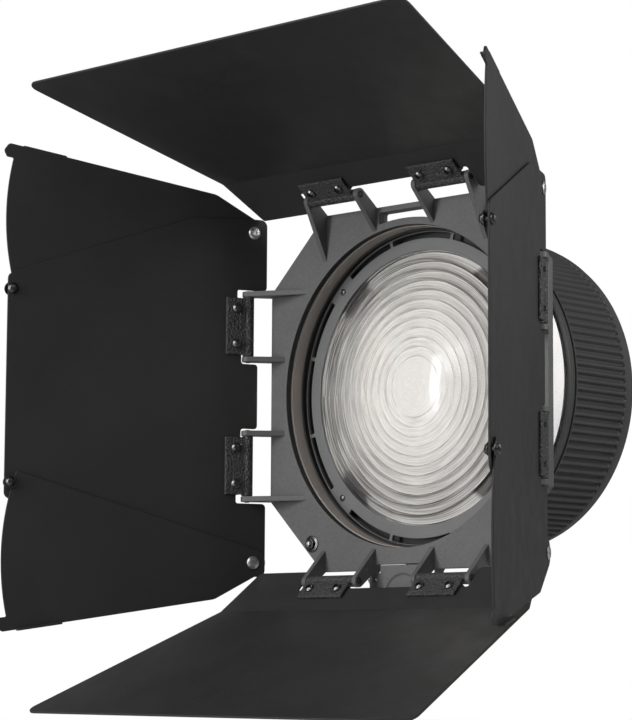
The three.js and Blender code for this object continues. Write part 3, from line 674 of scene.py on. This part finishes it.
# ---------------------------------------------------------------- screws
def pan_screw(head_r, head_h, shank_r, shank):
    """A pan-head screw with a cross recess. The head sits on y = 0 and rises to -y."""
    body = revolve([
        (0, -head_h), (head_r * 0.6, -head_h * 0.96, head_r * 0.5), (head_r, -head_h * 0.45, 0.5),
        (head_r, 0, 0.1), (shank_r, 0, 0.05), (shank_r, shank, 0.2), (0, shank)], 28)
    arm, half = head_r * 0.58, 0.22 * head_r
    across = plate([(-arm, -half), (arm, -half), (arm, half), (-arm, half)],
                   -head_h * 1.2, -head_h * 0.42, 0.02)
    upright = moved(across, Matrix.Rotation(math.pi / 2, 4, "Y"))
    return combined([body], [combined([across, upright])])


# ---------------------------------------------------------------- barrel and lens
def sag(radius):
    """How far the lens's curve has fallen back at a radius."""
    return LENS_CURVE - math.sqrt(LENS_CURVE**2 - radius**2)


def crest(radius):
    """The depth of a ring's crest."""
    return LENS_PEAK - LENS_DOME * (1 - (radius / 98.5) ** 2)


def make_barrel():
    flange = (FRAME_FACE + 5.8, FRAME_FACE + 8.8)
    wall = revolve(by_depth([
        (115.5, flange[0], 0.5), (122.5, flange[0], 0.5), (122.5, flange[1], 0.5), (118.2, flange[1], 1),
        (118.2, 24, 2), (113.2, 26.5, 2), (113.2, 39.2, 0.5), (109, 39.2, 0.4), (109, 100, 0.6),
        (106, 100, 0.4), (106, 37, 1), (110.2, 34, 1), (110.2, 29.5, 1), (101.5, 28.5, 0.5),
        (101.5, 25.6, 0.3), (115.5, 25.6, 0.5)]), 192)
    post = plate(ring_part(104.8, 116.5, -4, 4, 5, 0.6), y_at(19.6), y_at(26), 0.2)
    hole = revolve([(0, -6), (2.2, -6), (2.2, 6), (0, 6)], 24, (0, 0, 0), True)
    at_pin = Matrix.Translation((107.5, y_at(GUIDE_PIN_DEPTH), 0))
    holes = [around(moved(hole, at_pin), angle) for angle in THIRDS]
    barrel = combined([wall, *[around(post, angle) for angle in QUARTERS]], holes)
    piece("lens_barrel", barrel, LOOKS["white_paint"])

    pin = revolve([(0, -3.7), (1.9, -3.7, 0.3), (1.9, 3.7, 0.3), (0, 3.7)], 24, (0, 0, 0), True)
    for i, angle in enumerate(THIRDS):
        at = moved(pin, Matrix.Translation((107.1, y_at(GUIDE_PIN_DEPTH), 0)))
        piece(f"guide_pin_{i + 1}", around(at, angle), LOOKS["bright_steel"])


def make_lens():
    centre = crest(0) - sag(LENS_CENTRE_R) + 0.6
    front = [(0, y_at(centre))]
    front += [(r, y_at(centre + sag(r))) for r in (LENS_CENTRE_R * k / 6 for k in range(1, 7))]
    riser, deepest, curve_end = 0.8, 20.6, 95
    for zone in range(LENS_ZONES):
        inner = LENS_CENTRE_R + zone * LENS_ZONE
        outer = inner + LENS_ZONE
        base = sag(min(inner, curve_end - LENS_ZONE))
        drop = sag(min(outer, curve_end)) - base
        peak = crest(inner)
        lowest = min(peak + drop, deepest)
        front.append((inner + 0.35, y_at(peak + 0.25)))
        front.append((inner + riser, y_at(peak)))
        for share in (0.25, 0.5, 0.75):
            fallen = peak + (lowest - peak) * share**1.15
            front.append((inner + riser + (LENS_ZONE - riser) * share, y_at(fallen)))
        front.append((outer, y_at(lowest)))
    rim = by_depth([(99, 19.6, 0.4), (104, 19.6, 0.4), (104, 24, 0.4), (0, 24)])
    piece("fresnel_lens", revolve(front + rim, 192), LOOKS["lens_glass"], sharp=24)

    slots = []
    for side in (0, 90, 180, 270):
        for start, end in ((-38.5, -15.8), (-14.4, 14.4), (15.8, 38.5)):
            slots.append(rounded(ring_part(109, 113.4, side + start, side + end, 14, 0.9), 3))
    screw_r = 108.6
    holes = [circle(polar((0, 0), screw_r, angle), 1.6, 16) for angle in QUARTERS]
    face_depth = 17
    bore, rim = circle((0, 0), 100, 192), circle((0, 0), 115.1, 192)
    face = plate(rim, y_at(face_depth), y_at(19.3), 0.3, [bore, *slots, *holes])
    lip = revolve(by_depth([(113.9, 19.2), (113.9, 12.6, 0.4), (115.2, 12.6, 0.4), (115.2, 19.2)]), 192)
    piece("lens_retaining_ring", combined([face, lip]), LOOKS["grey_trim"])
    screw = pan_screw(2.4, 1.3, 1.4, 4.5)
    for i, angle in enumerate(QUARTERS):
        at = around(moved(screw, Matrix.Translation((screw_r, y_at(face_depth), 0))), angle)
        piece("lens_retaining_ring", at, LOOKS["screw_steel"], name=f"ring_screw_{i + 1}", replaces=False)

    gasket = revolve(by_depth([(101.8, 24.3, 0.3), (104, 24.3, 0.3), (104, 25.3, 0.3), (101.8, 25.3, 0.3)]))
    piece("lens_gasket", gasket, LOOKS["gasket_silicone"])


# ---------------------------------------------------------------- door frame
def octagon(inset, corner_round=1.2):
    """The frame's outline, or one that lies inset within it."""
    half, flat = FRAME_HALF - inset, FRAME_FLAT - inset * math.tan(math.pi / 8)
    corners = [(half, -flat), (half, flat), (flat, half), (-flat, half),
               (-half, flat), (-half, -flat), (-flat, -half), (flat, -half)]
    return rounded([(x, z, corner_round) for x, z in corners], 4)


def hinge_arm(tip, low):
    """An arm on the frame's right side, from its root at tip on the face to a round eye on the hinge axis."""
    eye, eye_r = (HINGE_R, y_at(HINGE_DEPTH)), 4.6
    on_face, on_edge = (tip, behind(0.4)), (FRAME_HALF - 0.3, behind(1.5))

    def touch(point, side):
        out = Vector(point) - Vector(eye)
        return math.degrees(math.atan2(out.y, out.x) + side * math.acos(eye_r / out.length))

    start, end = touch(on_face, 1), touch(on_edge, -1) + 360
    while end - start > 360:
        end -= 360
    outline = [on_face, *arc(eye, eye_r, start, end, 16), on_edge]
    return bar(outline, low, low + ARM, 0.5, [circle(eye, HINGE_BORE, 24)])


def make_frame():
    cable_slot = rounded(
        [(23.5, 127.8, 1.5), (-23.5, 127.8, 1.5), (*polar((0, 0), 121.6, 101.1), 1),
         *arc((0, 0), 121.6, 99, 81, 8), (*polar((0, 0), 121.6, 78.9), 1)], 4)
    bolt_holes = [circle((side * BOLT[0], BOLT[1]), 2.4, 24) for side in (-1, 1)]
    opening, back_opening = circle((0, 0), OPENING_R, 192), circle((0, 0), 124, 192)
    front = plate(octagon(0), behind(0), behind(5.5), 0.7, [opening, cable_slot, *bolt_holes])
    back = plate(octagon(3), behind(5.3), behind(9.5), 0.5, [back_opening, *bolt_holes])
    arms = []
    for door in DOORS.values():
        for low in (ARM_INNER, -ARM_INNER - ARM, ARM_OUTER, -ARM_OUTER - ARM):
            tip = door["tips"][0] if abs(low) > HINGE_OFFSET else door["tips"][1]
            arms.append(moved(hinge_arm(tip, low), side_matrix(door)))
    lips = [plate(ring_part(119.2, 129, middle - 8, middle + 8, 8, 1), behind(9.2), behind(11.5), 0.4)
            for middle in (65, 115)]
    profile = [(behind(0), -127, 0.3), (behind(0), -146, 1.2), (behind(7), -146, 1.5), (behind(8), -143, 1),
               (behind(8), -134, 1), (behind(9.5), -132, 0.5), (behind(9.5), -127, 0.3)]
    ear_half = 1.1
    ear = moved(bar(profile, -ear_half, ear_half, 0.35, [circle((behind(3.4), LATCH_Z), 1.4, 20)]), UPRIGHT)
    ears = [moved(ear, Matrix.Translation((side * (EAR_INNER + ear_half), 0, 0))) for side in (-1, 1)]
    width = EAR_INNER + 0.1
    notch = plate([(-width, -136), (width, -136), (width, -127.6, 1), (-width, -127.6, 1)],
                  behind(-0.2), behind(11), 0.05)
    slot_back = plate(cable_slot, behind(5), behind(11), 0.05)
    body = combined([front, back], [notch, slot_back])
    piece("door_frame", combined([body, *arms, *lips, *ears]), LOOKS["black_casting"], sharp=18)


def hexagon(radius, turn=0.0):
    return [(*polar((0, 0), radius, 60 * k + turn), 0.4) for k in range(6)]


def make_clips():
    bolt_r = math.hypot(*BOLT)
    for side, end in ((-1, "left"), (1, "right")):
        angle = math.degrees(math.atan2(BOLT[1], side * BOLT[0]))
        outline = [(119.4, -9, 2), (bolt_r + 7, -9, 4), (bolt_r + 7, 9, 4), (119.4, 9, 2)]
        clip = plate(outline, behind(9.8), behind(12.2), 0.35, [circle((bolt_r, 0), 2.4, 24)])
        piece(f"retaining_clip_{end}", around(clip, angle), LOOKS["black_steel"])
        at = Matrix.Translation((side * BOLT[0], 0, BOLT[1]))
        stud = revolve([(0, behind(-5)), (1.4, behind(-5), 0.5), (2.1, behind(-4.2), 0.3),
                        (2.1, behind(14.6), 0.3), (0, behind(14.6))], 32)
        piece(f"clip_bolt_{end}", moved(stud, at), LOOKS["bright_steel"])
        nut = plate(hexagon(4.4, 12), behind(-3.6), behind(-1), 0.4, [circle((0, 0), 2.15, 24)])
        flange = revolve([(2.15, behind(-1.3), 0.1), (4.4, behind(-1.3), 0.2), (6.2, behind(-0.8), 0.2),
                          (6.2, behind(-0.3), 0.1), (2.15, behind(-0.3), 0.1)], 48)
        back_nut = plate(hexagon(4), behind(12.5), behind(15), 0.4, [circle((0, 0), 2.15, 24)])
        for name, mesh in ((f"clip_nut_{end}", combined([nut, flange])), (f"clip_back_nut_{end}", back_nut)):
            piece(f"clip_bolt_{end}", moved(mesh, at), LOOKS["black_steel"], name=name, replaces=False)


# ---------------------------------------------------------------- latch
def make_latch():
    half = [(21.5, -128.3, 1), (21.5, -133.8, 0.4), (24, -133.8, 0.8), (24, -148.5, 2)]
    tab = plate(half + [(-x, z, r) for x, z, r in reversed(half)], behind(0), behind(3.2), 0.5)
    centre = (0, behind(3.4), LATCH_Z)
    boss = revolve([(0, -4.6), (2.7, -4.6, 0.3), (2.7, 4.6, 0.3), (0, 4.6)], 32, None, True)
    bosses = [moved(boss, Matrix.Translation((x, *centre[1:]))) for x in (-12.6, 12.6)]
    hook = [(behind(2.5), -131.6), (behind(12), -131.6, 1), (behind(12), -120.6, 0.8),
            (behind(9.9), -120.6, 0.8), (behind(9.9), -128.8, 1), (behind(2.5), -128.8)]
    arm = moved(bar(hook, -6, 6, 0.3), UPRIGHT)
    scoop = revolve([(0, behind(1.2)), (16.3, behind(1.2), 2), (18.3, behind(-0.4)), (18.3, behind(-4)),
                     (0, behind(-4))], 96, (0, 0, -151.9))
    pocket = plate([(-7.8, -141.2), (7.8, -141.2), (7.8, -135.6), (-7.8, -135.6)],
                   behind(1.7), behind(7), 0.1)
    bore = revolve([(0, -24), (1.4, -24), (1.4, 24), (0, 24)], 24, centre, True)
    piece("latch_lever", combined([tab, *bosses, arm], [scoop, pocket, bore]), LOOKS["black_casting"])

    end = EAR_INNER + 2.5
    pin = revolve([(0, -end - 2.5), (1.8, -end - 2.3, 0.8), (3.3, -end - 1.3, 0.6), (3.3, -end, 0.2),
                   (1.1, -end, 0.1), (1.1, end, 0.1), (2.2, end, 0.2), (2.2, end + 0.8, 0.2), (0, end + 0.8)],
                  32, centre, True)
    piece("latch_pin", pin, LOOKS["bright_steel"])

    turns, sides, wire, coil, length = 5, 10, 0.25, 1.42, 12.8
    bm = bmesh.new()
    rings = []
    steps = turns * 24
    for k in range(steps + 1):
        angle = 2 * math.pi * turns * k / steps
        out = Vector((0, math.cos(angle), math.sin(angle)))
        middle = Vector((length * (k / steps - 0.5), 0, 0)) + out * coil + Vector(centre)
        rise = length / (2 * math.pi * turns)
        ahead = Vector((rise, -coil * math.sin(angle), coil * math.cos(angle))).normalized()
        side = out.cross(ahead)
        rings.append([bm.verts.new(middle + (out * math.cos(a) + side * math.sin(a)) * wire)
                      for a in (2 * math.pi * s / sides for s in range(sides))])
    for a, b in zip(rings, rings[1:]):
        bridge(bm, a, b)
    bm.faces.new(rings[0])
    bm.faces.new(list(reversed(rings[-1])))
    piece("latch_spring", to_mesh(bm), LOOKS["bright_steel"])


# ---------------------------------------------------------------- doors, in their own frame of reference
# There x runs along the sheet from the hinge axis, y towards its outer face, and z along the hinge.
def door_matrix(door):
    swing = Matrix.Rotation(-math.radians(door["angle"]), 4, "Z")
    return side_matrix(door) @ Matrix.Translation((HINGE_R, y_at(HINGE_DEPTH), 0)) @ swing


def with_mirror(half):
    return half + [(p[0], -p[1], *p[2:]) for p in reversed(half)]


def side_door_mesh():
    half = [(-7.5, 24.4, 2.5), (5.6, 24.4, 2), (5.6, 73.6, 0.8), (9, 73.6, 1.4), (9, 80.2, 1.4),
            (-14.65, 80.2, 3), (-14.65, RIVET.y + 10.5, 10.5), (RIVET.x, RIVET.y + 10.5, 6), (44, 132.6, 10),
            (182.3, 83, 0.1), (187.3, 80.2, 4.6)]
    stop = polar(RIVET, STOP_R, STOP_ANGLE)
    holes = [circle((x, side * z), r, 24) for side in (-1, 1) for x, z, r in ((*RIVET, 2.6), (*stop, 1.9))]
    return plate(with_mirror(half), -SHEET / 2, SHEET / 2, EDGE, holes)


def folded_door_mesh():
    half = [(8, 31, 1.2), (5.6, 31.2, 0.3), (5.6, 73.6, 0.8), (9, 73.6, 1.4), (9, 80.2, 1.4), (-10, 80.2, 3),
            (-10, 131, 2.5), (BEND_AT, 144.7, 4), (203.4, 180, 8)]
    bm = bmesh.new()
    bm.from_mesh(plate(with_mirror(half), -SHEET / 2, SHEET / 2, EDGE))
    length = BEND_R * BEND
    start = BEND_AT - length / 2
    cuts = 7
    for k in range(cuts):
        at = start + length * k / (cuts - 1)
        everything = [*bm.verts, *bm.edges, *bm.faces]
        bmesh.ops.bisect_plane(bm, geom=everything, plane_co=(at, 0, 0), plane_no=(1, 0, 0))
    for v in bm.verts:
        past = v.co.x - start
        if past <= 0:
            continue
        turn = min(past, length) / BEND_R
        beyond = max(0, past - length)
        radius = BEND_R + v.co.y
        v.co.x = start + radius * math.sin(turn) + beyond * math.cos(turn)
        v.co.y = -BEND_R + radius * math.cos(turn) - beyond * math.sin(turn)
    return to_mesh(bm)


def leaf_mesh():
    inner_edge, outer_edge, hook = -15.8, 8.8, 12.7
    kink = (25.9, 151.75)
    round_r = 10
    corner = inner_edge - math.degrees(math.asin(round_r / LEAF_R))
    tip = polar(RIVET, LEAF_R + 6, hook + 2.8)
    outline = [
        polar(RIVET, round_r, inner_edge - 90),
        (*polar(RIVET, LEAF_R, corner), 1.2),
        *arc(RIVET, LEAF_R, corner + 0.7, hook - 0.6, 28),
        (*polar(RIVET, LEAF_R, hook), 1.2),
        (*polar(RIVET, LEAF_R + 5, hook - 0.15), 1.5),
        (*polar(RIVET, LEAF_R + 8.4, hook + 1), 3),
        (*tip, 3),
        (*kink, 14),
        *arc(RIVET, round_r, 118.4, 254.2, 18)[:-1],
    ]
    near = SHEET / 2 + GAP
    flat = plate(outline, -near - SHEET, -near, EDGE, [circle(RIVET, 2.7, 24)])
    # the turned-up lip: half its length, how high it stands, how far out it reaches, and its thickness
    reach, rise, out, thick, bend_r = 16.5, 6.4, 1.8, 1.5, 1.4
    section = rounded([(0, 0), (out, 0, bend_r + SHEET), (out, rise, 0.6), (out - thick, rise, 0.6),
                       (out - thick, SHEET, 0.2), (0, SHEET)], 4)
    lip = bar([(x, -y) for x, y in section], -reach, reach, 0.3)
    # the section's x is across the leaf's edge, and its length follows the edge
    middle = Vector(kink).lerp(Vector(tip), 0.83)
    angle = math.radians(outer_edge)
    along = Vector((math.cos(angle), 0, math.sin(angle)))
    across = Vector((-math.sin(angle), 0, math.cos(angle)))
    start = Vector((middle.x, -near, middle.y)) - across * 0.9
    matrix = Matrix((
        (across.x, 0, along.x, start.x), (across.y, 1, along.y, start.y), (across.z, 0, along.z, start.z),
        (0, 0, 0, 1)))
    return combined([flat, moved(lip, matrix)])


def rivet_mesh():
    def head(y, out):
        return [(4.8, y, 0.15), (4.8, y + out * 0.5, 0.3), (3.6, y + out * 1.25, 0.8),
                (2.2, y + out * 1.5, 0.6)]

    low, high = head(-3, -1), head(1.1, 1)
    profile = [(0, -4.35), *reversed(low), (2.3, -3, 0.1), (2.3, 1.1, 0.1), *high, (0, 2.45)]
    return revolve(profile, 48, (RIVET.x, 0, RIVET.y))


def stop_mesh():
    x, z = polar(RIVET, STOP_R, STOP_ANGLE)
    profile = [(0, -6.9), (2.4, -6.6, 1.2), (3.6, -5.2, 0.8), (3.6, -4, 0.2), (5.2, -4, 0.25), (5.2, -3, 0.2),
               (1.6, -3, 0.1), (1.6, 1.1, 0.1), (4, 1.1, 0.2), (4, 1.9, 0.4), (2.6, 3.6, 1.2), (0, 3.9)]
    return revolve(profile, 40, (x, 0, z))


def knuckle_mesh():
    near = -SHEET / 2 - GAP
    half = HINGE_LENGTH / 2
    flange = bar([(1.5, near, 0.1), (18.5, near, 0.3), (18.5, -2.6, 0.3), (17.9, FLANGE_FACE, 0.4),
                  (1.5, FLANGE_FACE)], -half, half, 0.35)
    end, past = half + 0.8, half + 2
    barrel = revolve([(HINGE_BORE, -end, 0.2), (4.3, -end, 0.5), (4.3, end, 0.5), (HINGE_BORE, end, 0.2)], 48)
    bore = revolve([(0, -past), (HINGE_BORE, -past), (HINGE_BORE, past), (0, past)], 48)
    to_hinge = Matrix.Rotation(math.pi / 2, 4, "X")
    return combined([flange, moved(barrel, to_hinge)], [moved(bore, to_hinge)])


def backing_mesh():
    near, half = SHEET / 2 + GAP, HINGE_LENGTH / 2
    return bar([(5.8, near, 0.2), (18.5, near, 0.2), (18.5, 2.4, 0.5), (17.4, 3.4, 0.5), (6.8, 3.4, 0.5),
                (5.8, 2.4, 0.5)], -half, half, 0.4)


def pin_mesh():
    reach = 27.2
    pin = revolve([(0, -reach), (2, -reach, 0.5), (2, reach, 0.5), (0, reach)], 32)
    return moved(pin, Matrix.Rotation(math.pi / 2, 4, "X"))


def make_doors():
    meshes = {"side": side_door_mesh(), "folded": folded_door_mesh(), "leaf": leaf_mesh(),
              "rivet": rivet_mesh(), "stop": stop_mesh(), "knuckle": knuckle_mesh(),
              "backing": backing_mesh(), "pin": pin_mesh()}
    screw = pan_screw(3.5, 2.6, 1.9, 8.6)
    flip = Matrix.Rotation(math.pi, 4, "X")
    for name, door in DOORS.items():
        is_side = name in ("left", "right")
        swing = door_matrix(door)
        still = side_matrix(door)
        piece(f"door_{name}", meshes["side" if is_side else "folded"], LOOKS["black_sheet"], swing)
        for side, end in zip((1, -1), door["ends"]):
            place = f"{name}_{end}"
            across = Matrix.Translation((0, 0, side * HINGE_OFFSET))
            at_pin = Matrix.Translation((HINGE_R, y_at(HINGE_DEPTH), side * HINGE_OFFSET))
            piece(f"hinge_pin_{place}", meshes["pin"], LOOKS["black_steel"], still @ at_pin)
            piece(f"hinge_knuckle_{place}", meshes["knuckle"], LOOKS["crinkle_black"], swing @ across)
            piece(f"hinge_backing_{place}", meshes["backing"], LOOKS["crinkle_black"], swing @ across)
            for i, offset in enumerate((-13.4, 13.4)):
                at = swing @ Matrix.Translation((10.4, FLANGE_FACE, side * HINGE_OFFSET + offset))
                piece(f"hinge_knuckle_{place}", screw, LOOKS["screw_steel"], at,
                      name=f"hinge_screw_{place}_{i + 1}", replaces=False)
            if not is_side:
                continue
            turned = swing if side > 0 else swing @ flip
            piece(f"leaf_{place}", meshes["leaf"], LOOKS["black_sheet"], turned)
            piece(f"leaf_rivet_{place}", meshes["rivet"], LOOKS["bright_steel"], turned)
            piece(f"leaf_stop_{place}", meshes["stop"], LOOKS["black_steel"], turned)


make_rear()
make_focus_ring()
make_barrel()
make_lens()
make_frame()
make_clips()
make_latch()
make_doors()


# ---------------------------------------------------------------- camera, floor and light
def aim(obj, back, up_roll=0.0):
    """Points the object's -Z against the direction back, then rolls it."""
    obj.rotation_mode = "QUATERNION"
    turn = (-back).to_track_quat("-Z", "Y").to_matrix()
    obj.rotation_quaternion = (turn @ Matrix.Rotation(up_roll, 3, "Z")).to_quaternion()


def make_camera():
    azimuth, pitch, roll = math.radians(43.33), math.radians(-6.905), math.radians(0.312)
    level = math.cos(pitch)
    back = Vector((math.sin(azimuth) * level, -math.cos(azimuth) * level, math.sin(pitch)))
    camera = bpy.data.objects.new("camera", bpy.data.cameras.new("camera"))
    bpy.context.scene.collection.objects.link(camera)
    camera.location = (1.19698, -1.52766, -0.20152)
    camera.data.sensor_width = 36
    camera.data.lens = CAMERA_LENS
    aim(camera, back, roll)
    bpy.context.scene.camera = camera


def soft_light(name, place, size, watts, target=(0, -0.12, 0)):
    lamp = bpy.data.lights.new(name, "AREA")
    lamp.shape, lamp.size, lamp.size_y, lamp.energy = "RECTANGLE", size[0], size[1], watts
    obj = bpy.data.objects.new(name, lamp)
    bpy.context.scene.collection.objects.link(obj)
    obj.location = place
    aim(obj, (Vector(place) - Vector(target)).normalized())


def make_studio():
    mesh = bpy.data.meshes.new("floor")
    side, level = FLOOR_SIDE, cad_low.z - FLOOR_DROP
    corners = [(-side, -side, level), (side, -side, level), (side, side, level), (-side, side, level)]
    mesh.from_pydata(corners, [], [(0, 1, 2, 3)])
    floor = bpy.data.objects.new("floor", mesh)
    bpy.context.scene.collection.objects.link(floor)
    n = Nodes("floor")
    n.link(n.mix(n.noise(3, 3), (0.86, 0.86, 0.86), (0.88, 0.88, 0.88)), n.shader.inputs["Base Color"])
    n.shader.inputs["Roughness"].default_value = 0.8
    mesh.materials.append(n.material)

    world = bpy.data.worlds.new("studio")
    bpy.context.scene.world = world
    world.use_nodes = True
    tree = world.node_tree
    background = tree.nodes["Background"]
    seen = tree.nodes.new("ShaderNodeLightPath")
    strength = tree.nodes.new("ShaderNodeMapRange")
    strength.inputs["To Min"].default_value = 0.22
    strength.inputs["To Max"].default_value = 1.0
    tree.links.new(seen.outputs["Is Camera Ray"], strength.inputs["Value"])
    tree.links.new(strength.outputs["Result"], background.inputs["Strength"])
    background.inputs["Color"].default_value = (1, 1, 1, 1)

    soft_light("strip", (-0.47, -1.56, 0.2), (0.3, 1.25), 16)
    soft_light("key", (0.2, -2.1, 1.1), (1.2, 1.2), 23)
    soft_light("side", (1.75, -0.95, 1.0), (0.6, 0.8), 2)
    soft_light("right", (0.45, -0.07, 0.16), (0.12, 0.3), 1.2, (0.11, -0.11, 0))
    soft_light("inside", (-0.05, -0.012, 0.003), (0.05, 0.05), 0.8, (-0.05, -0.14, 0.003))
    bpy.context.scene.view_settings.view_transform = "Standard"


make_camera()
make_studio()
